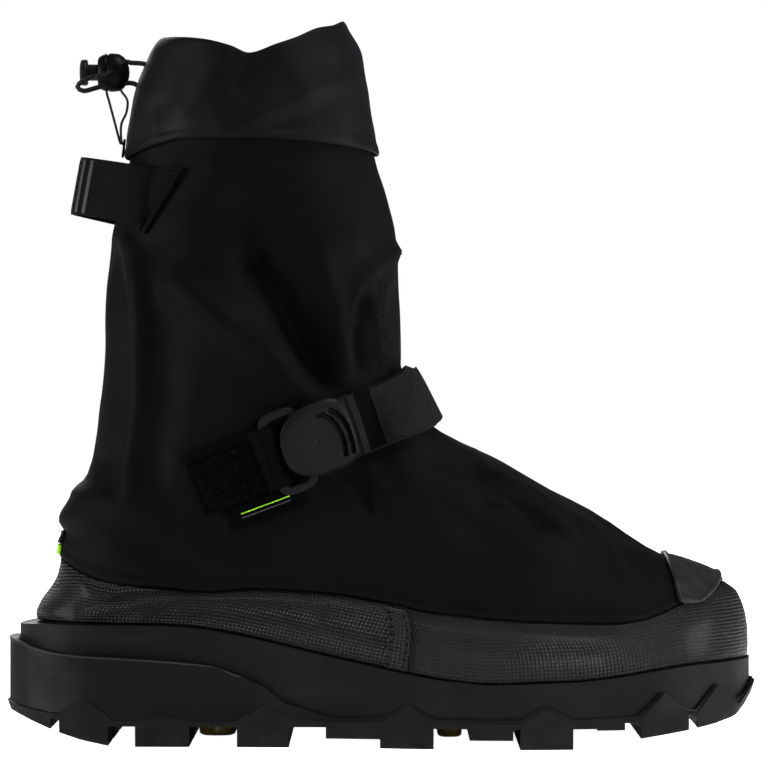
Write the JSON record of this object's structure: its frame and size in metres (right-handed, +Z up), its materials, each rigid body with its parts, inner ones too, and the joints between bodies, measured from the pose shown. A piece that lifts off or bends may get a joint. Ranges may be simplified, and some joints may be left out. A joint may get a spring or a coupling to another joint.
{
  "type": "winter overshoe",
  "caption": "Right winter overshoe: hollow fabric boot with drawcord cuff, coarse nylon foxing, instep strap with lever buckle, lugged rubber sole with heel cup.",
  "frame": {"origin": "middle of the sole's outline on the ground, at the bottom of the part's box without its cords", "axes": "+X towards the toe, +Y towards the inner side of the foot, +Z up"},
  "size_m": [0.33, 0.1226, 0.3144],
  "materials": {
    "rubber": "matte black rubber",
    "insole": "dark grey felt",
    "upper_fabric": "fine black woven nylon",
    "foxing": "coarse glossy coated nylon",
    "ripstop": "black ripstop nylon",
    "patch": "moulded black rubber",
    "lime": "lime tape",
    "webbing": "black webbing",
    "pile": "black loop pile",
    "label": "black woven label",
    "buckle": "dark grey moulded plastic",
    "lock": "black moulded plastic",
    "button": "grey moulded plastic",
    "cord": "black braided cord",
    "amber": "amber translucent rubber"
  },
  "bodies": {
    "shoe": {"outsole": "rubber", "midsole": "rubber", "insole": "insole", "upper": "upper_fabric", "foxing_rear": "foxing", "foxing_front": "foxing", "cuff": "ripstop", "toe_patch": "patch", "heel_tab": "lime", "instep_strap": "webbing", "strap_tail": "webbing", "strap_pile": "pile", "side_label": "label", "buckle_frame": "buckle", "buckle_lever": "buckle", "pull_loop": "webbing", "lock_body": "lock", "drawcord_upper": "cord", "drawcord_lower": "cord", "drawcord_tail": "cord", "keeper_rear": "cord", "keeper_front": "cord", "keeper_tab": "webbing", "grip_pad_heel": "amber", "grip_pad_forefoot": "amber"},
    "button": {"lock_button": "button"}
  },
  "joints": [
    {"name": "button_press", "type": "slide", "parent": "shoe", "child": "button", "axis": [1, 0, 0], "range_m": [0, 0.003], "stiffness_N_per_m": 400, "springref_m": -0.002}
  ]
}
